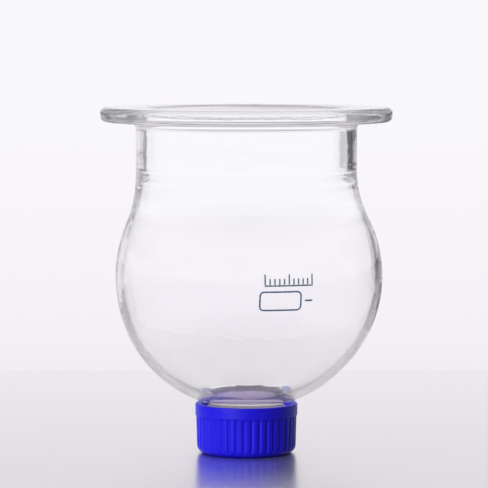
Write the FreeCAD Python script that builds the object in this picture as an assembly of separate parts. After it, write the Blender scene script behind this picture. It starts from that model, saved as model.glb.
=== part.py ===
import FreeCAD, Part
import math
import os

# Open-mouth spherical reaction vessel in borosilicate glass: a flat flange on a
# short wide neck, a blown bulb, and a GL45 screw-thread outlet at the bottom
# closed by a ribbed polypropylene cap.  The vessel stands on the cap.
# Origin at the centre of the cap's outer face, +Z up, front towards -Y, millimetres.
# Profiles are lists of (radius, z), turned about the Z axis.

# ---------------------------------------------------------------- cap and liner
CAP_H = 26.0
CAP_COLLAR_R = 26.6
CAP_COLLAR_H = 6.2
CAP_COLLAR_Z = CAP_H - CAP_COLLAR_H  # underside of the collar at the cap's mouth
CAP_COLLAR_ROUND = 0.5
CAP_COLLAR_CHAMFER = 0.2
CAP_CREST_TOP_R = 26.15  # rib crests just under the collar
CAP_CREST_LOW_R = 25.65  # rib crests at the closed end
CAP_EDGE_ROUND = 4.5
CAP_END_T = 2.4
CAP_IN_R = 22.75
CAP_FLOOR_ROUND = 0.5
CAP_FLOOR_STEP_H = 0.3   # narrower step round the inner floor
CAP_MOUTH = [            # (added radius, depth below the rim) of the flared mouth
    (1.0, 0.0),
    (0.45, 1.2),
    (0.0, 3.4),
]
CAP_RECESS_R = 16.5
CAP_RECESS_T = 0.5
CAP_RECESS_BEVEL = 0.6

CAP_RIBS = 40
FLUTE_R = 1.05           # radius of the round flute between two ribs
FLUTE_DEPTH = 0.55
FLUTE_START_AZ = -92.8   # first flute, degrees from +X
FLUTE_OVERRUN = 1.0      # flute cutter past the closed end

LINER_R = 21.9
SEAL_T = 2.8
SEAL_CHAMFER = 0.25
FACING_T = 0.4
FACING_Z = CAP_END_T + SEAL_T

# ------------------------------------------------------------------------ glass
TOTAL_H = 180.0          # bench to ground flange face

FLANGE_R = 75.6
FLANGE_T = 7.5
FLANGE_LOW_Z = TOTAL_H - FLANGE_T
FLANGE_TOP_ROUND = 2.2
FLANGE_LOW_ROUND = 2.4
FLANGE_UNDER_FILLET = 4.0
BORE_R = 52.0            # 104 mm clear mouth
BORE_LIP_ROUND = 2.0

NECK_R = 57.3            # outside of the straight neck
SHOULDER_FILLET = 62.0   # sweep from the neck into the bulb

# The inner sphere sits higher: the wall is 3.3 at the middle and 4.6 at the bottom.
BULB_R = 69.3
BULB_Z = 92.3
BULB_IN_R = 66.0
BULB_IN_Z = 93.6

# Inner shoulder, from the bore down to the inner sphere
SHOULDER_END_Z = 119.0
SHOULDER_END_R = math.sqrt(BULB_IN_R**2 - (SHOULDER_END_Z - BULB_IN_Z) ** 2)
SHOULDER_TANGENT = 6.0   # tangent length at both ends of the curve
SHOULDER_POINTS = [      # (radius, z)
    (BORE_R, 148.5), (52.2, 146.8), (52.9, 144.8), (53.7, 142.6), (54.2, 140.2),
    (54.6, 137.6), (55.25, 134.5), (56.45, 130.4), (58.45, 125.3),
    (SHOULDER_END_R, SHOULDER_END_Z),
]

TUBE_R = 20.3            # outlet tube outside (thread root)
TUBE_BORE_R = 16.4
TUBE_END_Z = FACING_Z + FACING_T  # the outlet's sealing land rests on the facing
TUBE_OUT_FILLET = 2.0
TUBE_IN_ROUND = 7.0
TUBE_END_ROUND = 0.8

SEAM_TOP_Z = 140.0       # fused seam, neck to bulb
SEAM_LOW_Z = 27.0        # fused seam, bulb to outlet
SLAB_R = 200.0           # slabs that part the glass at the seams
SLAB_TOP_Z = 200.0
SLAB_LOW_Z = -1.0

# ---------------------------------------------------------------------- threads
PITCH = 4.0              # GL45
THREAD_CREST_R = 22.2
THREAD_Z0 = 8.9          # centre line at the thread's lower end
THREAD_TURNS = 1.75
THREAD_HALF_ROOT = 1.15
THREAD_HALF_CREST = 0.55

CAP_THREAD_CREST_R = 20.95
CAP_THREAD_Z0 = 10.5
CAP_THREAD_TURNS = 1.6
CAP_THREAD_HALF_ROOT = 0.75
CAP_THREAD_HALF_CREST = 0.38
CAP_THREAD_OFFSET = 1.60  # cap thread centre line above the glass thread

# Shape common to both ridges
RIDGE_STEP = 10.0        # degrees between sections
RIDGE_TAPER = 40.0       # degrees over which each end fades
RIDGE_EMBED = 0.5        # depth of the ridge inside the wall
RIDGE_END_HEIGHT = 0.06  # share of full height left at the ends
RIDGE_END_WIDTH = 0.45   # share of full width at zero height
RIDGE_BREAK = 0.78       # where the flank bends, as a share of its height
RIDGE_TOP_SHARE = 0.55   # flat top as a share of the crest width
RIDGE_LOW_HEIGHT = 0.3   # up to this height share the root slope is fixed
RIDGE_LOW_SLOPE = 0.25
RIDGE_MAX_SLOPE = 0.6    # limit of the flank slope inside the wall

# ------------------------------------------------------------------ enamel mark
MARK_AZ = 16.0           # degrees right of the front
MARK_Z = 90.0
MARK_LIFT = 0.02         # gap to the bulb
MARK_T = 0.08
MARK_START_Y = -45.0     # strokes run from here outwards through the bulb's wall
MARK_DEPTH = 30.0

# Flat stroke sizes: x across, z up from MARK_Z
TICKS = 11
TICK_LEFT = -11.6
TICK_PITCH = 2.45
TICK_W = 0.7             # also the height of the bar under the ticks
TICK_BASE_Z = 2.5
TICK_TOP_Z = 6.7
LONG_TICK_EVERY = 5
LONG_TICK_TOP_Z = 8.9
FIELD_BOX = (-14.2, -9.8, 7.6, 0.2)  # left, bottom, right, top
FIELD_CORNER = 2.0
FIELD_STROKE = 0.8
FIELD_CORNER_SHRINK = 0.41  # corner cut lost per millimetre of inset
DASH_BOX = (9.4, -5.2, 13.5, -4.4)


# ---------------------------------------------------------------------- helpers
def profile_point(point):
    return FreeCAD.Vector(point[0], 0.0, point[1])


def lines(*points):
    """Straight edges joining successive profile points."""
    return [
        Part.LineSegment(profile_point(start), profile_point(end)).toShape()
        for start, end in zip(points, points[1:])
    ]


def arc(start, middle, end):
    return Part.Arc(*[profile_point(point) for point in (start, middle, end)]).toShape()


def arc_about(centre, start, end):
    """The shorter arc about centre from start to end."""
    start_angle = math.atan2(start[1] - centre[1], start[0] - centre[0])
    end_angle = math.atan2(end[1] - centre[1], end[0] - centre[0])
    sweep = (end_angle - start_angle + math.pi) % (2 * math.pi) - math.pi
    mid_angle = start_angle + sweep / 2
    radius = math.hypot(start[0] - centre[0], start[1] - centre[1])
    middle = (
        centre[0] + radius * math.cos(mid_angle),
        centre[1] + radius * math.sin(mid_angle),
    )
    return arc(start, middle, end)


def sphere_fillet(wall_r, sphere_r, sphere_z, fillet_r, side):
    """Fillet from a cylinder to a sphere, above (side 1) or below (side -1) its centre.

    Returns its centre and its ends on the cylinder and on the sphere.
    """
    centre_r = wall_r + fillet_r
    reach = sphere_r + fillet_r
    rise = side * math.sqrt(reach**2 - centre_r**2)
    centre = (centre_r, sphere_z + rise)
    on_sphere = (centre_r / reach * sphere_r, sphere_z + rise / reach * sphere_r)
    return centre, (wall_r, centre[1]), on_sphere


def outward(solid):
    """Turn the solid's faces outwards if it was built inside out."""
    if solid.Volume < 0:
        solid.reverse()
    return solid


def revolve(edges):
    wire = Part.Wire(Part.__sortEdges__(edges))
    axis = FreeCAD.Vector(0, 0, 1)
    return outward(Part.Face(wire).revolve(FreeCAD.Vector(0, 0, 0), axis, 360))


def turn_about_z(shape, degrees):
    shape.rotate(FreeCAD.Vector(0, 0, 0), FreeCAD.Vector(0, 0, 1), degrees)


def disc(radius, low_z, height):
    return Part.makeCylinder(radius, height, FreeCAD.Vector(0, 0, low_z))


def unwrap(shape):
    """The only solid of a shape, or a compound of its solids."""
    solids = shape.Solids
    return solids[0] if len(solids) == 1 else Part.makeCompound(solids)


def closed_polygon(points):
    return Part.makePolygon(points + [points[0]])


def ridge_section(root_r, crest_r, half_root, half_crest, fade):
    """(radius, z offset) points of a ridge; fade is 0 at its ends, 1 at full size."""
    height = RIDGE_END_HEIGHT + (1 - RIDGE_END_HEIGHT) * math.sin(fade * math.pi / 2)
    width = RIDGE_END_WIDTH + (1 - RIDGE_END_WIDTH) * height
    top_r = root_r + (crest_r - root_r) * height
    half_root = half_root * width
    half_crest = half_crest * width
    # the flank runs on into the wall, so it crosses the wall's surface at an angle
    slope = RIDGE_LOW_SLOPE
    if height > RIDGE_LOW_HEIGHT:
        slope = (half_root - half_crest) / abs(top_r - root_r)
    buried_r = root_r - math.copysign(RIDGE_EMBED, crest_r - root_r)
    half_buried = half_root + min(slope, RIDGE_MAX_SLOPE) * RIDGE_EMBED
    break_r = root_r + (top_r - root_r) * RIDGE_BREAK
    half_break = half_root + (half_crest - half_root) * RIDGE_BREAK
    half_top = half_crest * RIDGE_TOP_SHARE
    return [
        (buried_r, -half_buried), (break_r, -half_break), (top_r, -half_top),
        (top_r, half_top), (break_r, half_break), (buried_r, half_buried),
    ]


def helical_ridge(root_r, crest_r, half_root, half_crest, start_z, turns):
    """A closed thread ridge that loses its height at both ends."""
    total = 360.0 * turns
    steps = int(round(total / RIDGE_STEP))
    wires = []
    for i in range(steps + 1):
        angle = total * i / steps
        fade = min(1.0, angle / RIDGE_TAPER, (total - angle) / RIDGE_TAPER)
        centre_z = start_z + PITCH * angle / 360.0
        cosine = math.cos(math.radians(angle))
        sine = math.sin(math.radians(angle))
        section = ridge_section(root_r, crest_r, half_root, half_crest, fade)
        wires.append(closed_polygon([
            FreeCAD.Vector(radius * cosine, radius * sine, centre_z + z)
            for radius, z in section
        ]))
    return outward(Part.makeLoft(wires, True, False))


# ----------------------------------------------------------------------- pieces
def outer_glass_edges():
    """Flange face, then down the outside to the sealing land of the outlet."""
    top, low, end = FLANGE_TOP_ROUND, FLANGE_LOW_ROUND, TUBE_END_ROUND
    top_start = (FLANGE_R - top, TOTAL_H)
    top_end = (FLANGE_R, TOTAL_H - top)
    low_start = (FLANGE_R, FLANGE_LOW_Z + low)
    low_end = (FLANGE_R - low, FLANGE_LOW_Z)
    under = (NECK_R + FLANGE_UNDER_FILLET, FLANGE_LOW_Z - FLANGE_UNDER_FILLET)
    under_start = (under[0], FLANGE_LOW_Z)
    under_end = (NECK_R, under[1])
    shoulder, on_neck, bulb_top = sphere_fillet(NECK_R, BULB_R, BULB_Z, SHOULDER_FILLET, 1)
    outlet, on_tube, bulb_low = sphere_fillet(TUBE_R, BULB_R, BULB_Z, TUBE_OUT_FILLET, -1)
    end_start = (TUBE_R, TUBE_END_Z + end)
    end_end = (TUBE_R - end, TUBE_END_Z)
    return [
        *lines((BORE_R + BORE_LIP_ROUND, TOTAL_H), top_start),
        arc_about((FLANGE_R - top, TOTAL_H - top), top_start, top_end),
        *lines(top_end, low_start),
        arc_about((FLANGE_R - low, FLANGE_LOW_Z + low), low_start, low_end),
        *lines(low_end, under_start),
        arc_about(under, under_start, under_end),
        *lines(under_end, on_neck),
        arc_about(shoulder, on_neck, bulb_top),
        arc(bulb_top, (BULB_R, BULB_Z), bulb_low),
        arc_about(outlet, bulb_low, on_tube),
        *lines(on_tube, end_start),
        arc_about((TUBE_R - end, TUBE_END_Z + end), end_start, end_end),
        *lines(end_end, (TUBE_BORE_R + end, TUBE_END_Z)),
    ]


def shoulder_edge():
    """Inner shoulder, leaving straight down and meeting the inner sphere at a tangent."""
    scale = SHOULDER_TANGENT / BULB_IN_R
    end_tangent = ((SHOULDER_END_Z - BULB_IN_Z) * scale, -SHOULDER_END_R * scale)
    curve = Part.BSplineCurve()
    curve.interpolate(
        Points=[profile_point(point) for point in SHOULDER_POINTS],
        InitialTangent=profile_point((0.0, -SHOULDER_TANGENT)),
        FinalTangent=profile_point(end_tangent),
    )
    return curve.toShape()


def inner_glass_edges():
    """Up the inside, from the sealing land to the flange face."""
    end, lip = TUBE_END_ROUND, BORE_LIP_ROUND
    end_start = (TUBE_BORE_R + end, TUBE_END_Z)
    end_end = (TUBE_BORE_R, TUBE_END_Z + end)
    outlet, on_bore, on_bulb = sphere_fillet(
        TUBE_BORE_R, BULB_IN_R, BULB_IN_Z, TUBE_IN_ROUND, -1
    )
    lip_start = (BORE_R, TOTAL_H - lip)
    lip_end = (BORE_R + lip, TOTAL_H)
    return [
        arc_about((TUBE_BORE_R + end, TUBE_END_Z + end), end_start, end_end),
        *lines(end_end, on_bore),
        arc_about(outlet, on_bore, on_bulb),
        arc(on_bulb, (BULB_IN_R, BULB_IN_Z), SHOULDER_POINTS[-1]),
        shoulder_edge(),
        *lines(SHOULDER_POINTS[0], lip_start),
        arc_about((BORE_R + lip, TOTAL_H - lip), lip_start, lip_end),
    ]


def glass_between(glass, low_z, high_z):
    return unwrap(glass.common(disc(SLAB_R, low_z, high_z - low_z)))


def make_outlet_tube(glass):
    tube = glass_between(glass, SLAB_LOW_Z, SEAM_LOW_Z)
    thread = helical_ridge(
        TUBE_R, THREAD_CREST_R, THREAD_HALF_ROOT, THREAD_HALF_CREST, THREAD_Z0, THREAD_TURNS
    )
    return unwrap(tube.fuse(thread).removeSplitter())


def make_cap_blank():
    """The cap before its flutes are cut."""
    edge, rim, chamfer = CAP_EDGE_ROUND, CAP_COLLAR_ROUND, CAP_COLLAR_CHAMFER
    taper = CAP_CREST_TOP_R - CAP_CREST_LOW_R
    edge_r = CAP_CREST_LOW_R + taper * edge / CAP_COLLAR_Z
    edge_start = (edge_r - edge, 0)
    edge_end = (edge_r, edge)
    rim_start = (CAP_COLLAR_R, CAP_H - rim)
    rim_end = (CAP_COLLAR_R - rim, CAP_H)
    floor_r = CAP_IN_R - CAP_FLOOR_ROUND
    step_z = CAP_END_T + CAP_FLOOR_STEP_H
    floor_centre = (floor_r, step_z + CAP_FLOOR_ROUND)
    floor_start = (CAP_IN_R, floor_centre[1])
    recess_centre = (0, CAP_RECESS_T)
    return revolve([
        *lines(
            recess_centre,
            (CAP_RECESS_R - CAP_RECESS_BEVEL, CAP_RECESS_T),
            (CAP_RECESS_R, 0),
            edge_start,
        ),
        arc_about((edge_r - edge, edge), edge_start, edge_end),
        *lines(
            edge_end,
            (CAP_CREST_TOP_R, CAP_COLLAR_Z),
            (CAP_COLLAR_R - chamfer, CAP_COLLAR_Z),
            (CAP_COLLAR_R, CAP_COLLAR_Z + chamfer),
            rim_start,
        ),
        arc_about((CAP_COLLAR_R - rim, CAP_H - rim), rim_start, rim_end),
        *lines(
            rim_end,
            *[(CAP_IN_R + flare, CAP_H - depth) for flare, depth in CAP_MOUTH],
            floor_start,
        ),
        arc_about(floor_centre, floor_start, (floor_r, step_z)),
        *lines((floor_r, step_z), (floor_r, CAP_END_T), (0, CAP_END_T), recess_centre),
    ])


def make_flutes():
    """Round cutters that lean with the taper of the rib crests."""
    lean = math.degrees(math.atan2(CAP_CREST_TOP_R - CAP_CREST_LOW_R, CAP_COLLAR_Z))
    flutes = []
    for i in range(CAP_RIBS):
        flute = disc(FLUTE_R, 0, CAP_COLLAR_Z + FLUTE_OVERRUN)
        flute.translate(FreeCAD.Vector(0, 0, -FLUTE_OVERRUN))
        flute.rotate(FreeCAD.Vector(0, 0, 0), FreeCAD.Vector(0, 1, 0), lean)
        flute.translate(FreeCAD.Vector(CAP_CREST_LOW_R - FLUTE_DEPTH + FLUTE_R, 0, 0))
        turn_about_z(flute, 360.0 / CAP_RIBS * i + FLUTE_START_AZ)
        flutes.append(flute)
    return flutes


def make_screw_cap():
    body = unwrap(make_cap_blank().cut(make_flutes()))
    thread = helical_ridge(
        CAP_IN_R, CAP_THREAD_CREST_R, CAP_THREAD_HALF_ROOT, CAP_THREAD_HALF_CREST,
        0.0, CAP_THREAD_TURNS,
    )
    # both helices share a lead, so a turn sets the cap thread's height over the glass thread
    turn_about_z(thread, 360.0 * (CAP_THREAD_Z0 - THREAD_Z0 - CAP_THREAD_OFFSET) / PITCH)
    thread.translate(FreeCAD.Vector(0, 0, CAP_THREAD_Z0))
    return unwrap(body.fuse(thread))


def make_seal_disc():
    seal = disc(LINER_R, CAP_END_T, SEAL_T)
    low_edges = [
        edge for edge in seal.Edges
        if abs(edge.BoundBox.ZMin - CAP_END_T) < 1e-6 and edge.BoundBox.ZLength < 1e-6
    ]
    return seal.makeChamfer(SEAL_CHAMFER, low_edges)


def prism(points, depth=MARK_DEPTH):
    """A flat (x, z) outline extruded towards the front."""
    face = Part.Face(closed_polygon([profile_point(point) for point in points]))
    return face.extrude(FreeCAD.Vector(0, -depth, 0))


def tick_bar():
    """A graduated bar, every fifth tick long."""
    bar_top_z = TICK_BASE_Z + TICK_W
    points = [(TICK_LEFT, TICK_BASE_Z)]
    for i in range(TICKS):
        x = TICK_LEFT + i * TICK_PITCH
        z = TICK_TOP_Z if i % LONG_TICK_EVERY else LONG_TICK_TOP_Z
        if i > 0:
            points.append((x, bar_top_z))
        points += [(x, z), (x + TICK_W, z)]
        if i < TICKS - 1:
            points.append((x + TICK_W, bar_top_z))
    points.append((x + TICK_W, TICK_BASE_Z))
    return prism(points)


def field_prism(inset, depth):
    """The cut-cornered field, drawn in by inset on all sides."""
    cut = FIELD_CORNER - inset * FIELD_CORNER_SHRINK
    left, bottom = FIELD_BOX[0] + inset, FIELD_BOX[1] + inset
    right, top = FIELD_BOX[2] - inset, FIELD_BOX[3] - inset
    return prism([
        (left + cut, bottom), (right - cut, bottom), (right, bottom + cut), (right, top - cut),
        (right - cut, top), (left + cut, top), (left, top - cut), (left, bottom + cut),
    ], depth)


def make_capacity_mark():
    """Tick bar over an empty field with a level dash beside it, wrapped onto the bulb."""
    centre = FreeCAD.Vector(0, 0, BULB_Z)
    shell = Part.makeSphere(BULB_R + MARK_LIFT + MARK_T, centre).cut(
        Part.makeSphere(BULB_R + MARK_LIFT, centre)
    )
    field = field_prism(0.0, MARK_DEPTH).cut(field_prism(FIELD_STROKE, MARK_DEPTH + 1.0))
    left, bottom, right, top = DASH_BOX
    dash = prism([(left, bottom), (right, bottom), (right, top), (left, top)])
    solids = []
    for stroke in (tick_bar(), field, dash):
        stroke.translate(FreeCAD.Vector(0, MARK_START_Y, MARK_Z))
        turn_about_z(stroke, MARK_AZ)
        solids += stroke.common(shell).Solids
    return Part.makeCompound(solids)


# ----------------------------------------------------------------------- export
glass = revolve(outer_glass_edges() + inner_glass_edges())
pieces = {
    "flange_neck": glass_between(glass, SEAM_TOP_Z, SLAB_TOP_Z),
    "bulb": glass_between(glass, SEAM_LOW_Z, SEAM_TOP_Z),
    "outlet_tube": make_outlet_tube(glass),
    "screw_cap": make_screw_cap(),
    "seal_disc": make_seal_disc(),
    "seal_facing": disc(LINER_R, FACING_Z, FACING_T),
    "capacity_mark": make_capacity_mark(),
}
os.makedirs("parts", exist_ok=True)
for name, shape in pieces.items():
    shape.exportStep(f"parts/{name}.step")
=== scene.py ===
"""A clear glass vessel with a wide flange on top and a threaded outlet below, in a blue screw cap.

The pieces share the +Z axis: the cap's closed end is at z = 0 and the ground flange face is at
the top. The camera looks along +Y, so -Y is the front and +X the right. Shapes are worked out
in millimetres and scaled to metres as meshes are made; stage, lights and camera are in metres.
"""

import math

import bpy
import numpy as np
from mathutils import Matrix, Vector


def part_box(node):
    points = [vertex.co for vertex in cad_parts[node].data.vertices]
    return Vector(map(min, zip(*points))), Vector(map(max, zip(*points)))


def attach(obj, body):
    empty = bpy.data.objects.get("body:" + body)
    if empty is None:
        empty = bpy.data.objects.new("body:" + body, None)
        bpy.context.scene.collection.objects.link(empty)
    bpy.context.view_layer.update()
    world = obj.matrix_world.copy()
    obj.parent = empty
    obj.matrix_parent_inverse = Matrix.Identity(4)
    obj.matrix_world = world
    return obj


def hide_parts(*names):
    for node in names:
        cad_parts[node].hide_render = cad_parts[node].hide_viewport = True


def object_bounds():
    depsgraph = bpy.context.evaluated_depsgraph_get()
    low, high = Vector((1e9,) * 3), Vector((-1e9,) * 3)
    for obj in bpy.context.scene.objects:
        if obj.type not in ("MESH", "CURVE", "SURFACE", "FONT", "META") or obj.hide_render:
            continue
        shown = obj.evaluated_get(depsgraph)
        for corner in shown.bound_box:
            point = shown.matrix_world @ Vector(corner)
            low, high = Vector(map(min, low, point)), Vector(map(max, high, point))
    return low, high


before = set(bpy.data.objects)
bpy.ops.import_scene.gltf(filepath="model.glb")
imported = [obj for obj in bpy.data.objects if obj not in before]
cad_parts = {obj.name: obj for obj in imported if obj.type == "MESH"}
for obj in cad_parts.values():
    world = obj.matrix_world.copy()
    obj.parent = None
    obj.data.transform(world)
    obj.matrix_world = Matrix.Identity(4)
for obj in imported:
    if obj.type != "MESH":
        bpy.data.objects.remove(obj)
cad_low, cad_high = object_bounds()
scene = bpy.context.scene

MM = 0.001
TAU = 2 * math.pi

# ---------------------------------------------------------------- sizes shared by the pieces, mm
TOTAL_H = cad_high.z / MM
FLANGE_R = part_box("flange_neck")[1].x / MM
CAP_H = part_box("screw_cap")[1].z / MM
COLLAR_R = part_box("screw_cap")[1].x / MM
OUTLET_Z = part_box("outlet_tube")[0].z / MM

BULB_R, BULB_Z = 69.3, 92.3  # outside of the bulb: radius and centre height
THREAD_PITCH = 4.0
GLASS_THREAD_Z = 8.9  # height at which the glass thread starts


# ---------------------------------------------------------------- meshes
def new_object(name, verts, faces, smooth=True, sharp_deg=None):
    mesh = bpy.data.meshes.new(name)
    mesh.from_pydata([tuple(v) for v in verts], [], faces)
    mesh.validate()
    mesh.update()
    mesh.polygons.foreach_set("use_smooth", [smooth] * len(mesh.polygons))
    if sharp_deg is not None:
        mesh.set_sharp_from_angle(angle=math.radians(sharp_deg))
    obj = bpy.data.objects.new(name, mesh)
    scene.collection.objects.link(obj)
    return obj


def facing_outward(verts, faces):
    """The faces, all reversed if they enclose a negative volume."""
    co = np.asarray(verts, float)
    volume = 0.0
    for size in {len(f) for f in faces}:
        f = np.array([face for face in faces if len(face) == size])
        for k in range(1, size - 1):
            normals = np.cross(co[f[:, k]], co[f[:, k + 1]])
            volume += float(np.einsum("ij,ij->", co[f[:, 0]], normals))
    return [tuple(reversed(f)) for f in faces] if volume < 0 else faces


def lathe(name, radii, heights, angles, closed, sharp_deg=None, shift=0.0):
    """Turn an outline about Z. Arrays are [outline point, column], in mm and radians.

    A closed outline joins its last point to its first; an open one gets a fan at each end.
    `shift` moves points along +X.
    """
    rows, cols = radii.shape
    x = radii * np.cos(angles) + shift
    y = radii * np.sin(angles)
    verts = [tuple(p) for p in np.stack([x, y, heights], axis=-1).reshape(-1, 3) * MM]
    faces = []
    for i in range(rows if closed else rows - 1):
        a, b = i * cols, (i + 1) % rows * cols
        for j in range(cols):
            k = (j + 1) % cols
            faces.append((a + j, a + k, b + k, b + j))
    if not closed:
        for row in (0, rows - 1):
            centre = len(verts)
            verts.append((0.0, 0.0, float(heights[row].mean()) * MM))
            for j in range(cols):
                a, b = row * cols + j, row * cols + (j + 1) % cols
                faces.append((b, a, centre) if row == 0 else (a, b, centre))
    return new_object(name, verts, facing_outward(verts, faces), sharp_deg=sharp_deg)


class Outline:
    """A cross-section of (radius, height) points, each tagged with the part it belongs to."""

    def __init__(self):
        self.points, self.tags = [], []

    def add(self, tag, points):
        """Append points, leaving out any that repeats the one before."""
        for p in points:
            if not self.points or math.dist(p, self.points[-1]) > 1e-4:
                self.points.append(p)
                self.tags.append(tag)

    def line(self, tag, start, end, count):
        (r0, z0), (r1, z1) = start, end
        self.add(tag, [(r0 + (r1 - r0) * t, z0 + (z1 - z0) * t) for t in np.linspace(0, 1, count)])

    def arc(self, tag, centre, radius, start_deg, end_deg, count):
        r, z = centre
        angles = np.radians(np.linspace(start_deg, end_deg, count))
        self.add(tag, [(r + radius * math.cos(a), z + radius * math.sin(a)) for a in angles])

    def close(self):
        """Drop the last point if it repeats the first."""
        if math.dist(self.points[0], self.points[-1]) < 1e-4:
            self.points.pop()
            self.tags.pop()

    def grid(self, columns):
        """Radii, heights and angles as [point, column], and the tag of each point."""
        radii, heights = (np.tile(np.array(v)[:, None], columns) for v in zip(*self.points))
        turn = np.linspace(0, TAU, columns, endpoint=False)
        return radii, heights, np.tile(turn, (len(self.points), 1)), np.array(self.tags)


def resample_spline(points, count):
    """Catmull-Rom through the points, evenly spaced by chord length."""
    p = np.array(points, float)
    p = np.vstack([2 * p[0] - p[1], p, 2 * p[-1] - p[-2]])
    dense = []
    for before, start, end, after in zip(p, p[1:], p[2:], p[3:]):
        for t in np.linspace(0, 1, 40, endpoint=False):
            linear = (-before + end) * t
            square = (2 * before - 5 * start + 4 * end - after) * t**2
            cube = (-before + 3 * start - 3 * end + after) * t**3
            dense.append(0.5 * (2 * start + linear + square + cube))
    dense = np.array(dense + [p[-2]])
    run = np.concatenate([[0], np.cumsum(np.hypot(*np.diff(dense, axis=0).T))])
    even = np.linspace(0, run[-1], count)
    return list(zip(np.interp(even, run, dense[:, 0]), np.interp(even, run, dense[:, 1])))


def smoothstep(x):
    x = np.clip(x, 0.0, 1.0)
    return x * x * (3 - 2 * x)


def thread_height(angle, z, start_z, turns, half_root, half_crest, height, taper_deg=40.0):
    """How far a rounded trapezoid thread, faded at both ends, stands off its wall."""
    total = 360.0 * turns
    out = np.zeros(angle.shape)
    for k in range(int(math.ceil(turns)) + 1):
        along = np.degrees(angle) + 360.0 * k
        inside = (along >= 0) & (along <= total)
        fade = np.clip(np.minimum(along / taper_deg, (total - along) / taper_deg), 0, 1)
        fade = np.sin(fade * math.pi / 2)
        width = 0.45 + 0.55 * fade
        off_centre = np.abs(z - (start_z + THREAD_PITCH * along / 360.0))
        flank = (half_root * width - off_centre) / (half_root * width - half_crest * width)
        out = np.maximum(out, np.where(inside, height * fade * smoothstep(flank), 0))
    return out


# ---------------------------------------------------------------- glass vessel
HOLLOW_R, HOLLOW_Z = 66.0, 93.6  # inside of the bulb
HOLLOW_TOP_Z = 119.0  # where the round inside gives way to the drawn shoulder
NECK_R, NECK_FLARE_R = 57.3, 62.0
MOUTH_R, MOUTH_Z, LIP_R = 52.0, 150.0, 2.0
FLANGE_T, FLANGE_TOP_ROUND, FLANGE_LOW_ROUND, FLANGE_FILLET = 7.5, 2.2, 2.4, 4.0
TUBE_R, BORE_R = 20.3, 16.4
TUBE_FILLET, TUBE_EDGE_R, FUNNEL_R = 2.0, 0.8, 7.0
TUBE_END_Z = OUTLET_Z + 0.05
THREAD_BAND = (17.6, 7.4)  # heights between which the tube is meshed finely
VESSEL_COLUMNS = 300

# inside of the shoulder, from the bulb up to the mouth: radius, height
SHOULDER = [
    (58.45, 125.3), (56.45, 130.4), (55.25, 134.5), (54.6, 137.6), (54.2, 140.2),
    (53.7, 142.6), (52.9, 144.8), (52.2, 146.8), (MOUTH_R, 148.5), (MOUTH_R, MOUTH_Z),
]

# swells and puckers of the wall: part, depth, height, width, then ripples round the axis
# as (amount, waves, phase)
SEAMS = [
    ("shoulder", -0.10, 143.6, 2.0, [(0.35, 2, 0.6), (0.25, 5, 1.7)]),
    ("shoulder", 0.08, 140.9, 1.8, [(0.3, 3, 2.1)]),
    ("shoulder", -0.08, 137.4, 2.0, [(0.4, 2, 4.0), (0.2, 7, 0.0)]),
    ("shoulder", -0.06, 132.6, 2.2, [(0.5, 3, 0.4)]),
    ("out", 0.06, 141.6, 2.6, [(0.4, 2, 1.0), (0.3, 5, 0.0)]),
    ("out", -0.05, 137.4, 2.6, [(0.4, 3, 0.0)]),
]


def sway(z):
    """How far (mm, to +X) the blown bulb stands off the axis of neck and outlet at height z."""
    z = np.asarray(z, float)
    return 1.35 * smoothstep((z - 30.0) / 60.0) * smoothstep((146.0 - z) / 34.0)


def fillet_offset(ball_r, fillet_r, centre_r):
    """Height between a ball's centre and that of a fillet circle touching it from outside."""
    return math.sqrt((ball_r + fillet_r) ** 2 - centre_r**2)


def angle_deg(r, z):
    return math.degrees(math.atan2(z, r))


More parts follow.
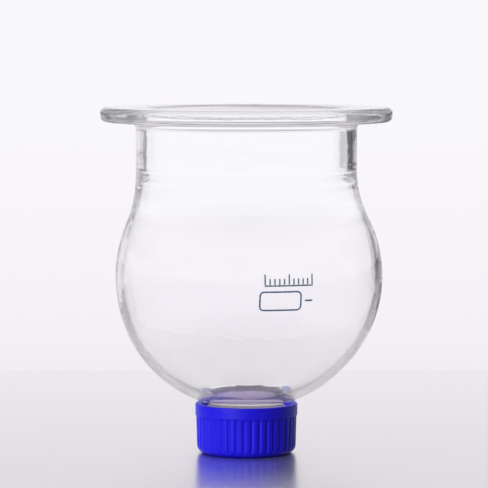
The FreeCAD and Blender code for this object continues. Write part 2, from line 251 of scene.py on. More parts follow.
def vessel_outline():
    """Round the wall, from the mouth's lip outwards, down the outside and up the inside."""
    o = Outline()
    # flange
    low = TOTAL_H - FLANGE_T
    top_in, low_in = FLANGE_R - FLANGE_TOP_ROUND, FLANGE_R - FLANGE_LOW_ROUND
    top_z, low_z = TOTAL_H - FLANGE_TOP_ROUND, low + FLANGE_LOW_ROUND
    fillet_r, fillet_z = NECK_R + FLANGE_FILLET, low - FLANGE_FILLET
    o.line("face", (MOUTH_R + LIP_R, TOTAL_H), (top_in, TOTAL_H), 26)
    o.arc("rim", (top_in, top_z), FLANGE_TOP_ROUND, 90, 0, 14)
    o.line("rim", (FLANGE_R, top_z), (FLANGE_R, low_z), 14)
    o.arc("rim", (low_in, low_z), FLANGE_LOW_ROUND, 0, -90, 15)
    o.line("under", (low_in, low), (fillet_r, low), 16)
    o.arc("under", (fillet_r, fillet_z), FLANGE_FILLET, 90, 180, 18)
    # neck and bulb
    flare_r = NECK_R + NECK_FLARE_R
    flare_dz = fillet_offset(BULB_R, NECK_FLARE_R, flare_r)
    flare_z = BULB_Z + flare_dz
    flare_end = angle_deg(-flare_r, -flare_dz) % 360
    root_r = TUBE_R + TUBE_FILLET
    root_dz = fillet_offset(BULB_R, TUBE_FILLET, root_r)
    root_z = BULB_Z - root_dz
    bulb_start, bulb_end = angle_deg(flare_r, flare_dz), angle_deg(root_r, -root_dz)
    o.line("out", (NECK_R, fillet_z), (NECK_R, flare_z), 22)
    o.arc("out", (flare_r, flare_z), NECK_FLARE_R, 180, flare_end, 34)
    o.arc("out", (0, BULB_Z), BULB_R, bulb_start, bulb_end, 120)
    # outlet tube and its bore
    band_top, band_low = THREAD_BAND
    edge_z = TUBE_END_Z + TUBE_EDGE_R
    outer_edge, bore_edge = TUBE_R - TUBE_EDGE_R, BORE_R + TUBE_EDGE_R
    o.arc("tube", (root_r, root_z), TUBE_FILLET, angle_deg(-root_r, root_dz), 180, 10)
    o.line("tube", (TUBE_R, root_z), (TUBE_R, band_top), 12)
    o.line("thread", (TUBE_R, band_top), (TUBE_R, band_low), 74)
    o.line("tube", (TUBE_R, band_low), (TUBE_R, edge_z), 4)
    o.arc("tube", (outer_edge, edge_z), TUBE_EDGE_R, 0, -90, 8)
    o.line("tube", (outer_edge, TUBE_END_Z), (bore_edge, TUBE_END_Z), 5)
    o.arc("bore", (bore_edge, edge_z), TUBE_EDGE_R, -90, -180, 8)
    funnel_r = BORE_R + FUNNEL_R
    funnel_dz = fillet_offset(HOLLOW_R, FUNNEL_R, funnel_r)
    funnel_z = HOLLOW_Z - funnel_dz
    o.line("bore", (BORE_R, edge_z), (BORE_R, funnel_z), 22)
    # hollow of the bulb
    hollow_start = angle_deg(funnel_r, -funnel_dz)
    hollow_end = math.degrees(math.asin((HOLLOW_TOP_Z - HOLLOW_Z) / HOLLOW_R))
    hollow_top_r = HOLLOW_R * math.cos(math.radians(hollow_end))
    o.arc("in", (funnel_r, funnel_z), FUNNEL_R, 180, angle_deg(-funnel_r, funnel_dz), 22)
    o.arc("in", (0, HOLLOW_Z), HOLLOW_R, hollow_start, hollow_end, 118)
    # shoulder and mouth
    lip_z = TOTAL_H - LIP_R
    o.add("shoulder", resample_spline([(hollow_top_r, HOLLOW_TOP_Z)] + SHOULDER, 90))
    o.line("mouth", (MOUTH_R, MOUTH_Z), (MOUTH_R, lip_z), 26)
    o.arc("mouth", (MOUTH_R + LIP_R, lip_z), LIP_R, 180, 90, 14)
    o.close()
    return o


def bump_at(z, height, width):
    return np.exp(-(((z - height) / width) ** 2))


def build_vessel():
    radii, heights, angles, tags = vessel_outline().grid(VESSEL_COLUMNS)

    def part(*names):
        rows = np.isin(tags, names)
        return rows, heights[rows], angles[rows]

    # moulded thread of the outlet
    rows, z, a = part("thread")
    radii[rows] += thread_height(
        a, z, GLASS_THREAD_Z, turns=1.75, half_root=1.15, half_crest=0.5, height=1.9
    )
    # lampworked seams
    for name, depth, height, width, ripples in SEAMS:
        rows, z, a = part(name)
        ripple = 1 + sum(amount * np.sin(waves * a + phase) for amount, waves, phase in ripples)
        radii[rows] += depth * bump_at(z, height, width) * ripple
    # slow unevenness of the blown wall, none of it near the funnel
    rows, z, a = part("in", "shoulder")
    waver = 0.05 * np.sin(2 * a + z * 0.05)
    waver += 0.035 * np.sin(3 * a - z * 0.09 + 1.3)
    waver += 0.03 * np.sin(z * 0.22 + np.sin(a))
    radii[rows] += smoothstep((z - 34.0) / 20.0) * waver
    rows, z, a = part("mouth")
    radii[rows] += 0.05 * np.sin(3 * a + 0.8) * bump_at(z, 160.0, 9.0)
    radii[rows] += 0.06 * np.sin(2 * a) * bump_at(z, 152.0, 4.0)
    # the fire-polished rim bellies out a little between its two rounded corners
    rows, z, a = part("rim")
    half = FLANGE_T / 2
    radii[rows] -= 0.4 * np.clip(np.abs(z - (TOTAL_H - half)) / half, 0, 1) ** 2
    # the pressed flange isn't quite flat underneath
    rows, z, a = part("under")
    heights[rows] += 0.05 * np.sin(2 * a + 0.9) + 0.02 * np.sin(5 * a + 2.0)

    vessel = lathe("glass_vessel", radii, heights, angles, closed=True, shift=sway(heights))
    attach(vessel, "vessel")
    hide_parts("flange_neck", "bulb", "outlet_tube")
    return vessel


# ---------------------------------------------------------------- screw cap
RIBS = 40
COLUMNS_PER_RIB = 16
RIB_TURN = math.radians(92.8)
FLUTE_GAUGE_R = 25.9  # radius at which the flutes' widths are measured
FLUTE_HALF, FLUTE_DEPTH = 0.92, 0.55
FLUTE_RUN_OUT = 0.9  # height below the collar over which the flutes grow shallower
RIB_CROWN = 0.10  # how far a rib's top falls from its middle to its edges
COLLAR_Z = CAP_H - 6.2
CREST_TOP_R, CREST_LOW_R = COLLAR_R - 0.45, COLLAR_R - 0.95
CAP_ROUND = 4.5  # rounding between the closed end and the ribbed wall
CAP_IN_R = 22.75
CAP_FLOOR_Z = 2.4
CAP_THREAD_R = 20.95
CAP_THREAD_Z = GLASS_THREAD_Z + 1.6  # same start angle as the glass thread, so they stay in step


def crest_r(z):
    """Radius of the tapered wall over the tops of the ribs."""
    return CREST_LOW_R + (CREST_TOP_R - CREST_LOW_R) * np.clip(z, 0, None) / COLLAR_Z


def cap_outline():
    """From the middle of the closed end outwards, up the outside and down into the cap."""
    o = Outline()
    round_r = float(crest_r(CAP_ROUND))
    # closed end: a shallow recess with a small gate dimple, and the standing ring
    o.add("end", [(0.25, 0.78), (0.7, 0.74), (1.15, 0.56), (1.5, 0.5)])
    o.line("end", (1.5, 0.5), (15.6, 0.5), 12)
    o.add("end", [(15.75, 0.48), (15.9, 0.42), (16.4, 0.06), (16.55, 0.015), (16.75, 0.0)])
    o.line("end", (16.75, 0.0), (round_r - CAP_ROUND, 0.0), 6)
    # ribbed wall
    o.arc("rib", (round_r - CAP_ROUND, CAP_ROUND), CAP_ROUND, -90, 0, 20)
    o.line("rib", (round_r, CAP_ROUND), (CREST_TOP_R, COLLAR_Z - 0.02), 26)
    o.add("rib", [(CREST_TOP_R + 0.05, COLLAR_Z)])
    # collar
    o.add("collar", [(COLLAR_R - 0.3, COLLAR_Z), (COLLAR_R - 0.1, COLLAR_Z + 0.06)])
    o.line("collar", (COLLAR_R, COLLAR_Z + 0.25), (COLLAR_R, CAP_H - 0.5), 8)
    o.arc("collar", (COLLAR_R - 0.5, CAP_H - 0.5), 0.5, 0, 90, 7)
    o.line("collar", (COLLAR_R - 0.5, CAP_H), (CAP_IN_R + 1.1, CAP_H), 4)
    # inside
    o.add("in", [(CAP_IN_R + 0.98, CAP_H - 0.06), (CAP_IN_R + 0.45, CAP_H - 1.2)])
    o.add("in", [(CAP_IN_R, CAP_H - 3.4)])
    o.line("thread", (CAP_IN_R, CAP_H - 3.4), (CAP_IN_R, 3.2), 96)
    o.arc("in", (CAP_IN_R - 0.5, 3.2), 0.5, 0, -90, 5)
    o.add("in", [(CAP_IN_R - 0.5, CAP_FLOOR_Z)])
    o.line("in", (CAP_IN_R - 0.55, CAP_FLOOR_Z), (0.25, CAP_FLOOR_Z), 8)
    return o


def fluted_r(angle, z):
    """Radius of the grip: crowned ribs with a round-bottomed flute between each pair."""
    pitch = TAU / RIBS * FLUTE_GAUGE_R
    phase = ((angle + RIB_TURN) / TAU * RIBS + 0.5) % 1.0 - 0.5
    across = np.abs(phase * pitch)
    flute = FLUTE_DEPTH * np.clip(1 - (across / FLUTE_HALF) ** 2, 0, None)
    crown = RIB_CROWN * np.clip((pitch / 2 - across) / (pitch / 2 - FLUTE_HALF), 0, 1) ** 2
    run_out = 0.55 + 0.45 * smoothstep((COLLAR_Z - z) / FLUTE_RUN_OUT)
    return crest_r(z) - (flute + crown) * run_out


def build_cap():
    radii, heights, angles, tags = cap_outline().grid(RIBS * COLUMNS_PER_RIB)
    rows = tags == "rib"
    radii[rows] = np.minimum(radii[rows], fluted_r(angles[rows], heights[rows]))
    rows = tags == "thread"
    radii[rows] -= thread_height(
        angles[rows], heights[rows], CAP_THREAD_Z,
        turns=1.6, half_root=0.75, half_crest=0.36, height=CAP_IN_R - CAP_THREAD_R,
    )
    cap = lathe("screw_cap_moulding", radii, heights, angles, closed=False, sharp_deg=38)
    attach(cap, "cap")
    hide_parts("screw_cap")
    return cap


# ---------------------------------------------------------------- enamel marks
# the marks are drawn on an upright plane facing the front, turned a little to +X;
# u runs to the right and v upwards from its middle, in mm
MARK_AZIMUTH, MARK_Z = math.radians(16.0), 90.0
MARK_OUT = Vector((math.sin(MARK_AZIMUTH), -math.cos(MARK_AZIMUTH), 0))
MARK_RIGHT = Vector((math.cos(MARK_AZIMUTH), math.sin(MARK_AZIMUTH), 0))
STROKE_STEP = 0.6
# cross-section of a stroke: share of its half width, lift off the glass
STROKE_SECTION = [(1, 0.03), (0.86, 0.075), (0.0, 0.095), (-0.86, 0.075), (-1, 0.03)]

TICKS, TICK_U, TICK_GAP, TICK_V = 11, -11.33, 2.45, 3.3
TICK_TOP, LONG_TICK_TOP = 6.4, 8.6


def on_bulb(u, v, lift):
    """The point of the bulb's outside behind (u, v) on the marks' plane, lifted off the glass."""
    z = MARK_Z + v - BULB_Z
    depth = math.sqrt(max(BULB_R**2 - u * u - z * z, 0.0))
    p = MARK_RIGHT * u + MARK_OUT * depth + Vector((0, 0, z))
    p = p.normalized() * (BULB_R + lift)
    return Vector((p.x + float(sway(p.z + BULB_Z)), p.y, p.z + BULB_Z)) * MM


def subdivided(path, closed):
    points = []
    for i in range(len(path) if closed else len(path) - 1):
        a, b = path[i], path[(i + 1) % len(path)]
        steps = max(1, int(math.hypot(b[0] - a[0], b[1] - a[1]) / STROKE_STEP))
        for s in range(steps):
            points.append((a[0] + (b[0] - a[0]) * s / steps, a[1] + (b[1] - a[1]) * s / steps))
    return points if closed else points + [path[-1]]


def enamel_object(name, strokes):
    """Thin solids swept on the glass along (centre line, half width, closed) strokes."""
    verts, faces = [], []
    k = len(STROKE_SECTION)
    for path, half_width, closed in strokes:
        points = subdivided(path, closed)
        count = len(points)
        base = len(verts)
        for i, (u, v) in enumerate(points):
            before = points[i - 1] if closed else points[max(i - 1, 0)]
            after = points[(i + 1) % count] if closed else points[min(i + 1, count - 1)]
            du, dv = after[0] - before[0], after[1] - before[1]
            length = math.hypot(du, dv) or 1.0
            # the edges of the print waver a little
            waver = 1 + 0.07 * math.sin(i * 1.7 + base) + 0.05 * math.sin(i * 0.61)
            half = half_width * waver
            for side, lift in STROKE_SECTION:
                off = half * side
                verts.append(on_bulb(u - dv / length * off, v + du / length * off, lift))
        for i in range(count if closed else count - 1):
            a, b = base + i * k, base + ((i + 1) % count) * k
            for s in range(k):
                faces.append((a + s, a + (s + 1) % k, b + (s + 1) % k, b + s))
        if not closed:
            faces.append(tuple(base + s for s in range(k)))
            faces.append(tuple(base + (count - 1) * k + s for s in reversed(range(k))))
    return new_object(name, verts, facing_outward(verts, faces), sharp_deg=50)


def rounded_box(u0, v0, u1, v1, r):
    corners = [(u1 - r, v1 - r, 0), (u0 + r, v1 - r, 90), (u0 + r, v0 + r, 180), (u1 - r, v0 + r, 270)]
    points = []
    for u, v, start in corners:
        for a in np.radians(np.linspace(start, start + 90, 6)):
            points.append((u + r * math.cos(a), v + r * math.sin(a)))
    return points


def build_marks():
    scale = [([(-11.6, 2.85), (13.5, 2.85)], 0.36, False)]
    for i in range(TICKS):
        u = TICK_U + i * TICK_GAP
        top = LONG_TICK_TOP if i % 5 == 0 else TICK_TOP
        scale.append(([(u, TICK_V), (u, top)], 0.35, False))
    field = [
        (rounded_box(-13.8, -9.4, 7.2, -0.2, r=2.0), 0.40, True),
        ([(9.4, -4.8), (13.5, -4.8)], 0.40, False),
    ]
    scale_mark = enamel_object("enamel_scale_bar", scale)
    field_mark = enamel_object("enamel_writing_field", field)
    for mark in (scale_mark, field_mark):
        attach(mark, "vessel")
    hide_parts("capacity_mark")
    return scale_mark, field_mark


# ---------------------------------------------------------------- shader helpers
class Shader:
    """The node tree of a material or world. Arguments may be values or other nodes' outputs."""

    def __init__(self, owner):
        owner.use_nodes = True
        self.owner = owner
        self.tree = owner.node_tree
        self.tree.nodes.clear()

    def put(self, socket, value):
        if isinstance(value, bpy.types.NodeSocket):
            self.tree.links.new(value, socket)
        elif socket.type == "RGBA":
            socket.default_value = (*value, 1)
        else:
            socket.default_value = value

    def node(self, kind, **inputs):
        """A new node; an underscore in an input's name stands for a space."""
        node = self.tree.nodes.new("ShaderNode" + kind)
        for name, value in inputs.items():
            self.put(node.inputs[name.replace("_", " ")], value)
        return node

    def out(self, kind, **inputs):
        """The first output of a new node."""
        return self.node(kind, **inputs).outputs[0]

    def object_coords(self):
        return self.node("TexCoord").outputs["Object"]

    def split(self, vector):
        return tuple(self.node("SeparateXYZ", Vector=vector).outputs)

    def calc(self, operation, *values, clamp=False):
        node = self.node("Math")
        node.operation = operation
        node.use_clamp = clamp
        for socket, value in zip(node.inputs, values):
            self.put(socket, value)
        return node.outputs[0]

    def times(self, a, b, clamp=False):
        return self.calc("MULTIPLY", a, b, clamp=clamp)

    def linear(self, value, slope, offset, clamp=False):
        return self.calc("MULTIPLY_ADD", value, slope, offset, clamp=clamp)

    def above(self, value, level, slope):
        """0 below the level, rising to 1 above it."""
        return self.times(self.calc("SUBTRACT", value, level), slope, clamp=True)

    def ramp(self, value, stops):
        """A colour ramp over (position, colour) stops."""
        node = self.node("ValToRGB")
        elements = node.color_ramp.elements
        while len(elements) > 1:
            elements.remove(elements[-1])
        elements[0].position = stops[0][0]
        elements[0].color = (*stops[0][1], 1)
        for position, colour in stops[1:]:
            elements.new(position).color = (*colour, 1)
        self.put(node.inputs[0], value)
        return node.outputs[0]

    def noise(self, vector, scale, detail, roughness=0.5):
        return self.out("TexNoise", Vector=vector, Scale=scale, Detail=detail, Roughness=roughness)

    def stretched(self, vector, scale):
        return self.out("Mapping", Vector=vector, Scale=scale)

    def bump(self, height, strength, distance, **normal):
        return self.out("Bump", Height=height, Strength=strength, Distance=distance, **normal)

    def mix_shader(self, factor, first, second):
        node = self.node("MixShader")
        for socket, value in zip(node.inputs, (factor, first, second)):
            self.put(socket, value)
        return node.outputs[0]

    def mix_colour(self, factor, first, second):
        node = self.node("Mix")
        node.data_type = "RGBA"
        # the colour version of the node uses inputs 6 and 7, and output 2
        for index, value in ((0, factor), (6, first), (7, second)):
            self.put(node.inputs[index], value)
        return node.outputs[2]

    def material(self, surface, **volume):
        self.node("OutputMaterial", Surface=surface, **volume)
        return self.owner


def new_shader(name):
    return Shader(bpy.data.materials.new(name))


def paint(obj, material):
    obj.data.materials.clear()
    obj.data.materials.append(material)


# ---------------------------------------------------------------- materials
def ground_bore_and_glow_share(s, coords, r_mm, z_mm):
    """How much of the glass surface is fine ground and carries the painted glow: the outlet's bore and
    the funnel above it.
    """
    limit = s.calc("MAXIMUM", s.linear(z_mm, slope=0.75, offset=0.6), 17.5)
    inside = s.above(limit, r_mm, slope=2.0)
    below = s.above(30.4, z_mm, slope=2.2)
    funnel = s.times(s.above(24.5, r_mm, slope=1.5), s.above(z_mm, 28.0, slope=1.5))
    inside = s.calc("MAXIMUM", inside, funnel)
    grain = s.noise(coords, scale=1600.0, detail=2.0)
    return s.times(s.times(inside, below), s.linear(grain, slope=0.1, offset=0.84))


def ground_bore_with_painted_glow(s, z_mm):
    """A dim veil with a soft sheen, plus painted light: an emission glow, stronger lower in the bore,
    that stands in for light scattered many times there.
    """
    veil_colour = (0.16, 0.135, 0.165)
    veil = s.mix_shader(
        0.35, s.out("BsdfDiffuse", Color=veil_colour), s.out("BsdfTranslucent", Color=veil_colour)
    )
    gloss = s.out("BsdfGlossy", Color=(0.48, 0.43, 0.56), Roughness=0.35)
    sheen = s.mix_shader(0.20, veil, gloss)
    # painted light: the bore glows by emission, brighter the lower it sits, though no lamp is there
    depth = s.calc("SUBTRACT", 27.0, z_mm, clamp=True)
    strength = s.linear(depth, slope=3.7, offset=0.55)
    glow = s.out("Emission", Color=(0.098, 0.084, 0.094), Strength=strength)
    node = s.node("AddShader")
    s.put(node.inputs[0], sheen)
    s.put(node.inputs[1], glow)
    return node.outputs[0]


def glass_material():
    """Clear borosilicate with faint cords, a finely ground flange face and a trace of tint."""
    s = new_shader("borosilicate_glass")
    coords = s.object_coords()
    x, y, z = s.split(coords)
    flattened = s.stretched(coords, (1.0, 1.0, 3.0))
    cords = s.noise(flattened, scale=26.0, detail=2.0, roughness=0.4)
    fine = s.noise(flattened, scale=140.0, detail=1.0)
    relief = s.linear(fine, slope=0.08, offset=cords)
    normal_z = s.split(s.node("NewGeometry").outputs["Normal"])[2]
    flange_face = s.times(
        s.calc("GREATER_THAN", z, (TOTAL_H - 0.1) * MM), s.calc("GREATER_THAN", normal_z, 0.95)
    )
    grind = s.noise(coords, scale=900.0, detail=2.0)
    clear = s.out(
        "BsdfPrincipled",
        Base_Color=(0.985, 0.99, 0.995),
        IOR=1.473,
        Transmission_Weight=1.0,
        Roughness=s.times(flange_face, s.linear(grind, slope=0.06, offset=0.03)),
        Normal=s.bump(relief, strength=0.35, distance=0.0006),
    )
    square = s.calc("ADD", s.calc("POWER", x, 2.0), s.calc("POWER", y, 2.0))
    r_mm = s.times(s.calc("SQRT", square), 1000.0)
    z_mm = s.times(z, 1000.0)
    ground_and_glow_share = ground_bore_and_glow_share(s, coords, r_mm, z_mm)
    # the fine-ground bore also carries a painted glow
    surface = s.mix_shader(ground_and_glow_share, clear, ground_bore_with_painted_glow(s, z_mm))
    # shadow rays pass straight through, dimmed most at grazing angles
    shade = s.ramp(s.node("LayerWeight", Blend=0.5).outputs["Facing"], [
        (0.0, (0.97, 0.97, 0.975)),
        (0.7, (0.93, 0.93, 0.94)),
        (0.93, (0.72, 0.72, 0.75)),
        (1.0, (0.45, 0.45, 0.5)),
    ])
    is_shadow = s.node("LightPath").outputs["Is Shadow Ray"]
    surface = s.mix_shader(is_shadow, surface, s.out("BsdfTransparent", Color=shade))
    tint = s.out("VolumeAbsorption", Color=(0.80, 0.84, 0.86), Density=1.4)
    return s.material(surface, Volume=tint)


def cap_material():
    """Moulded blue polypropylene, clouded and streaked, with a fine grain."""
    s = new_shader("cap_blue_polypropylene")
    coords = s.object_coords()
    cloud = s.noise(coords, scale=90.0, detail=3.0, roughness=0.6)
    streak = s.noise(s.stretched(coords, (1, 1, 0.25)), scale=420.0, detail=2.0)
    grain = s.noise(coords, scale=2600.0, detail=2.0)
    tone = s.linear(streak, slope=0.35, offset=s.times(cloud, 0.65))
    colour = s.ramp(tone, [
        (0.25, (0.010, 0.005, 0.64)), (0.5, (0.0125, 0.0072, 0.70)), (0.75, (0.015, 0.009, 0.75)),
    ])
    # painted reflection and shade: where the cap is seen through the thick glass at the outlet, its
    # colour is swapped for a paler violet grey that stands in for the glass's reflected haze over the
    # shaded inside of the cap
    depth = s.node("LightPath").outputs["Transmission Depth"]
    painted_haze_through_glass = s.times(s.calc("GREATER_THAN", depth, 0.5), s.calc("LESS_THAN", depth, 2.5))
    colour = s.mix_colour(s.times(painted_haze_through_glass, 0.85), colour, (0.29, 0.26, 0.36))
    # exposed edges are worn smoother
    pointiness = s.node("NewGeometry").outputs["Pointiness"]
    worn = s.linear(pointiness, slope=-0.25, offset=0.46)
    grain_bump = s.bump(grain, strength=0.25, distance=0.00004)
    return s.material(s.out(
        "BsdfPrincipled",
        Base_Color=colour,
        IOR=1.49,
        Specular_IOR_Level=0.18,
        Subsurface_Weight=0.08,
        Subsurface_Radius=(0.1, 0.1, 1.0),
        Subsurface_Scale=0.0012,
        Roughness=s.linear(grain, slope=0.10, offset=worn),
        Normal=s.bump(cloud, strength=0.18, distance=0.0003, Normal=grain_bump),
    ))


def ptfe_material():
    """White PTFE film with faint skiving lines."""
    s = new_shader("ptfe_film")
    wave = s.node(
        "TexWave", Vector=s.object_coords(), Scale=260.0, Distortion=2.5, Detail=2.0
    ).outputs["Fac"]
    return s.material(s.out(
        "BsdfPrincipled",
        Base_Color=s.ramp(wave, [(0.0, (0.82, 0.82, 0.84)), (1.0, (0.88, 0.88, 0.89))]),
        Roughness=0.38,
        IOR=1.35,
        Subsurface_Weight=0.25,
        Subsurface_Scale=0.002,
        Normal=s.bump(wave, strength=0.2, distance=0.00003),
    ))


def silicone_material():
    """Mottled off-white silicone."""
    s = new_shader("silicone_rubber")
    mottle = s.noise(s.object_coords(), scale=180.0, detail=3.0)
    return s.material(s.out(
        "BsdfPrincipled",
        Base_Color=s.ramp(mottle, [(0.3, (0.62, 0.61, 0.58)), (0.7, (0.72, 0.71, 0.68))]),
        Roughness=0.6,
        Subsurface_Weight=0.5,
        Subsurface_Scale=0.003,
    ))


def enamel_material(name, dark, bright):
    """Fired enamel, speckled between two colours."""
    s = new_shader(name)
    speckle = s.noise(s.object_coords(), scale=700.0, detail=3.0, roughness=0.7)
    return s.material(s.out(
        "BsdfPrincipled",
        Base_Color=s.ramp(speckle, [(0.35, dark), (0.65, bright)]),
        Roughness=0.42,
        Normal=s.bump(speckle, strength=0.3, distance=0.00002),
    ))


def table_material():
    """Polished white; its reflection strengthens towards the back."""
    s = new_shader("polished_white_table")
    coords = s.object_coords()
    cloud = s.noise(coords, scale=6.0, detail=3.0)
    depth = s.linear(s.split(coords)[1], slope=2.2, offset=0.25, clamp=True)
    return s.material(s.out(
        "BsdfPrincipled",
        Metallic=0.96,
        Base_Color=s.ramp(cloud, [(0.3, (0.86, 0.835, 0.87)), (0.7, (0.875, 0.85, 0.88))]),
        Specular_Tint=s.ramp(depth, [(0.0, (0.82, 0.815, 0.83)), (1.0, (0.955, 0.95, 0.955))]),
        Roughness=s.linear(cloud, slope=0.03, offset=0.235),
    ))


# ---------------------------------------------------------------- stage, in metres
TABLE_LOW, TABLE_HIGH = (-1.7, -2.2, -0.03), (1.7, 0.382, 0.0)
TABLE_ROUND = 0.003


def build_table():
    """A slab with rounded upper edges, built from rings of its outline."""
    (x0, y0, z0), (x1, y1, z1) = TABLE_LOW, TABLE_HIGH
    rings = []
    for k in range(7):
        a = math.radians(90 * k / 6)
        inset = TABLE_ROUND * (1 - math.sin(a))
        rings.append((inset, z1 - TABLE_ROUND + TABLE_ROUND * math.cos(a)))
    rings.append((0.0, z0))
    verts, faces = [], []
    for inset, z in rings:
        left, right, front, back = x0 + inset, x1 - inset, y0 + inset, y1 - inset
        verts += [(left, front, z), (right, front, z), (right, back, z), (left, back, z)]
    for a in range(0, (len(rings) - 1) * 4, 4):
        for j in range(4):
            k = (j + 1) % 4
            faces.append((a + j, a + 4 + j, a + 4 + k, a + k))
    last = (len(rings) - 1) * 4
    faces.append((0, 1, 2, 3))
    faces.append((last + 3, last + 2, last + 1, last))
    table = new_object("table_top", verts, faces, smooth=False)
    paint(table, table_material())


# colour of the surroundings by height of the ray, 0.5 being level
SWEEP = [
    (0.0, (0.80, 0.765, 0.81)),
    (0.279, (0.888, 0.847, 0.896)),
    (0.298, (0.905, 0.868, 0.913)),
    (0.318, (0.919, 0.880, 0.921)),
    (0.356, (0.932, 0.900, 0.934)),
    (0.395, (0.940, 0.918, 0.945)),
    (0.434, (0.946, 0.930, 0.955)),
    (0.60, (0.955, 0.940, 0.960)),
    (1.0, (0.97, 0.955, 0.97)),
]
# diffuse light they give, from -X to +X
SWEEP_LIGHT = [
    (0.0, (0.46, 0.45, 0.47)),
    (0.35, (0.36, 0.35, 0.37)),
    (0.62, (0.14, 0.135, 0.15)),
    (1.0, (0.03, 0.03, 0.035)),
]
# transmission depths beyond which a ray has entered glass, and crossed the vessel's hollow
ENTERED, CROSSED = 0.5, 2.5


def build_world():
    """An even white sweep, darker overhead when seen through the glass."""
    scene.world = bpy.data.worlds.new("white_sweep")
    s = Shader(scene.world)
    x, _, z = s.split(s.node("TexCoord").outputs["Generated"])
    path = s.node("LightPath").outputs
    through = s.calc("GREATER_THAN", path["Transmission Depth"], ENTERED)
    crossed = s.calc("GREATER_THAN", path["Transmission Depth"], CROSSED)
    dim_hollow = s.linear(s.above(z, 0.55, slope=2.5), slope=-0.60, offset=1.04)
    dim_solid = s.linear(s.above(z, 0.40, slope=4.0), slope=-0.80, offset=1.04)
    difference = s.calc("SUBTRACT", dim_hollow, dim_solid)
    dim = s.calc("ADD", s.times(crossed, difference), dim_solid)
    level = s.linear(through, slope=s.calc("SUBTRACT", dim, 1.0), offset=1.0)
    sweep = s.ramp(s.linear(z, slope=2.0, offset=0.5, clamp=True), SWEEP)
    light = s.ramp(s.linear(x, slope=0.5, offset=0.5, clamp=True), SWEEP_LIGHT)
    surface = s.mix_shader(
        s.calc("GREATER_THAN", path["Diffuse Depth"], 0.5),
        s.out("Background", Color=sweep, Strength=level),
        s.out("Background", Color=light),
    )
    s.node("OutputWorld", Surface=surface)


def aim(obj, direction):
    obj.rotation_mode = "QUATERNION"
    obj.rotation_quaternion = direction.to_track_quat("-Z", "Y")


def build_camera():
    data = bpy.data.cameras.new("camera")
    camera = bpy.data.objects.new("camera", data)
    scene.collection.objects.link(camera)
    data.sensor_width = 36.0
    data.lens = 227.8
    data.clip_start, data.clip_end = 0.01, 100.0
    camera.location = (-0.00125, -1.6, 0.2236)
    tilt_down = math.radians(4.098)
    aim(camera, Vector((0, math.cos(tilt_down), -math.sin(tilt_down))))
    scene.camera = camera
    return camera


# the screen is half a cylinder in the camera's own axes: x right, y up, -z ahead
SCREEN_R, SCREEN_H, SCREEN_Z = 1.25, 1.1, -1.64
SCREEN_STEPS = 96
# brightness for glass at three heights, and where rays that crossed the hollow see the screen:
# degrees to the right of the line of sight, value
SCREEN_LOWER = [
    (-90, 0.92), (-78, 0.92), (-60, 0.70), (-50, 0.74), (-36, 0.80), (-25, 0.86), (-3, 0.80),
    (0, 0.18), (5, 0.14), (9, 0.18), (12, 0.24), (16, 0.34), (20, 0.40), (30, 0.46), (45, 0.50),
    (60, 0.50), (78, 0.90),
]
SCREEN_UPPER = [
    (-90, 0.92), (-76, 0.90), (-68, 0.80), (-56, 0.80), (-49, 0.82), (-46, 0.32), (-39, 0.32),
    (-36, 0.75), (-31, 0.80), (-22, 0.84), (-8, 0.84), (0, 0.80), (3, 0.74), (15, 0.70),
    (24, 0.42), (31, 0.10), (39, 0.07), (43, 0.09), (47, 0.50), (60, 0.40), (70, 0.40), (78, 0.90),
]
SCREEN_TOP = [
    (-90, 0.55), (-57, 0.42), (-48, 0.30), (-40, 0.28), (-21, 0.27), (-15, 0.28), (-7, 0.36),
    (0, 0.30), (7, 0.16), (14, 0.20), (21, 0.20), (30, 0.25), (39, 0.28), (45, 0.32), (57, 0.36),
    (90, 0.55),
]
SCREEN_HOLLOW = [(0, 0.0), (16.0, 0.0), (18.5, 1.0), (30, 0.95), (35, 0.0)]


def grey(value):
    return (value, value * 0.96, value * 1.02)


def screen_material():
    s = new_shader("graded_screen_cloth")
    x, y, z = s.split(s.object_coords())
    angle = s.calc("ARCTAN2", x, s.calc("SUBTRACT", SCREEN_Z, z))
    across = s.linear(angle, slope=1.0 / math.pi, offset=0.5, clamp=True)

    def along(table, colour=grey):
        return s.ramp(across, [((a + 90) / 180, colour(v)) for a, v in table])

    def step(value, low, high):
        return s.above(value, low, slope=1.0 / (high - low))

    is_upper, is_top = step(y, -0.14, 0.0), step(y, 0.118, 0.134)
    colour = s.mix_colour(is_upper, along(SCREEN_LOWER), along(SCREEN_UPPER))
    colour = s.mix_colour(is_top, colour, along(SCREEN_TOP))
    # far above and below the line of sight it fades to near white
    slant = s.calc("DIVIDE", s.calc("ABSOLUTE", y), SCREEN_R)
    colour = s.mix_colour(step(slant, 0.16, 0.42), colour, (0.93, 0.90, 0.93))
    # rays that crossed the hollow see an even grey in one band, and otherwise pass by
    depth = s.node("LightPath").outputs["Transmission Depth"]
    crossed = s.calc("GREATER_THAN", depth, CROSSED)
    mask = along(SCREEN_HOLLOW, colour=lambda v: (v, v, v))
    shown = s.times(mask, s.times(is_upper, s.calc("SUBTRACT", 1.0, is_top)))
    away = s.times(crossed, s.calc("SUBTRACT", 1.0, shown))
    # the table's own reflection looks past it
    incoming_z = s.split(s.node("NewGeometry").outputs["Incoming"])[2]
    upward = s.calc("LESS_THAN", incoming_z, 0.0)
    bounce = s.times(s.calc("LESS_THAN", depth, ENTERED), upward)
    away = s.calc("MAXIMUM", away, bounce)
    glow = s.out("Emission", Color=s.mix_colour(crossed, colour, grey(0.58)))
    return s.material(s.mix_shader(away, glow, s.out("BsdfTransparent")))


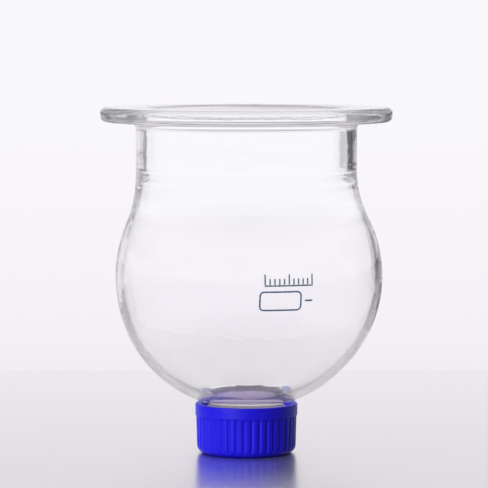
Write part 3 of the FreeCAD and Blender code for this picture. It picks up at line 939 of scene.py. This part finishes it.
def build_screen(camera):
    """A graded screen behind the object that draws the edges of the glass.

    It follows the camera, which never sees it directly.
    """
    verts, faces = [], []
    for i in range(SCREEN_STEPS + 1):
        a = math.radians(-90 + 180 * i / SCREEN_STEPS)
        x, z = SCREEN_R * math.sin(a), SCREEN_Z - SCREEN_R * math.cos(a)
        verts += [(x, -SCREEN_H / 2, z), (x, SCREEN_H / 2, z)]
    for i in range(0, 2 * SCREEN_STEPS, 2):
        faces.append((i, i + 2, i + 3, i + 1))
    screen = new_object("graded_screen", verts, faces)
    screen.parent = camera
    for ray in ("camera", "diffuse", "shadow", "volume_scatter"):
        setattr(screen, "visible_" + ray, False)
    paint(screen, screen_material())


def area_light(name, location, target, size, power, glossy=False):
    data = bpy.data.lights.new(name, "AREA")
    data.shape = "RECTANGLE"
    data.size, data.size_y = size
    data.energy = power
    light = bpy.data.objects.new(name, data)
    scene.collection.objects.link(light)
    light.location = location
    aim(light, Vector(target) - Vector(location))
    light.visible_glossy = glossy
    light.visible_transmission = False
    light.visible_camera = False
    return light


def build_lights(cap):
    """A key from the front left, one for the cap alone, and a soft one overhead."""
    area_light("key_softbox", (-1.3, -1.1, 0.65), target=(0, 0, 0.05), size=(0.9, 0.9), power=7.0)
    cap_light = area_light(
        "cap_softbox", (-0.69, -0.98, 0.25),
        target=(0, 0, 0.015), size=(0.62, 0.6), power=10.4, glossy=True,
    )
    lit = bpy.data.collections.new("lit_by_cap_softbox")
    lit.objects.link(cap)
    cap_light.light_linking.receiver_collection = lit
    area_light("top_softbox", (-0.1, 0.2, 1.5), target=(0, 0, 0.05), size=(1.2, 1.2), power=3.0)


def set_render():
    scene.view_settings.view_transform = "Standard"
    scene.view_settings.look = "None"
    # light is guided a long way inside the thick flange and the shoulder
    scene.cycles.max_bounces = 40
    scene.cycles.glossy_bounces = 32
    scene.cycles.transmission_bounces = 32


# ---------------------------------------------------------------- build
vessel = build_vessel()
cap = build_cap()
scale_mark, field_mark = build_marks()

paint(vessel, glass_material())
paint(cap, cap_material())
paint(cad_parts["seal_facing"], ptfe_material())
paint(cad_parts["seal_disc"], silicone_material())
paint(scale_mark, enamel_material(
    "enamel_grey_blue", dark=(0.21, 0.32, 0.45), bright=(0.29, 0.41, 0.54)
))
paint(field_mark, enamel_material(
    "enamel_blue", dark=(0.10, 0.26, 0.46), bright=(0.15, 0.33, 0.56)
))

set_render()
build_table()
build_world()
build_screen(build_camera())
build_lights(cap)
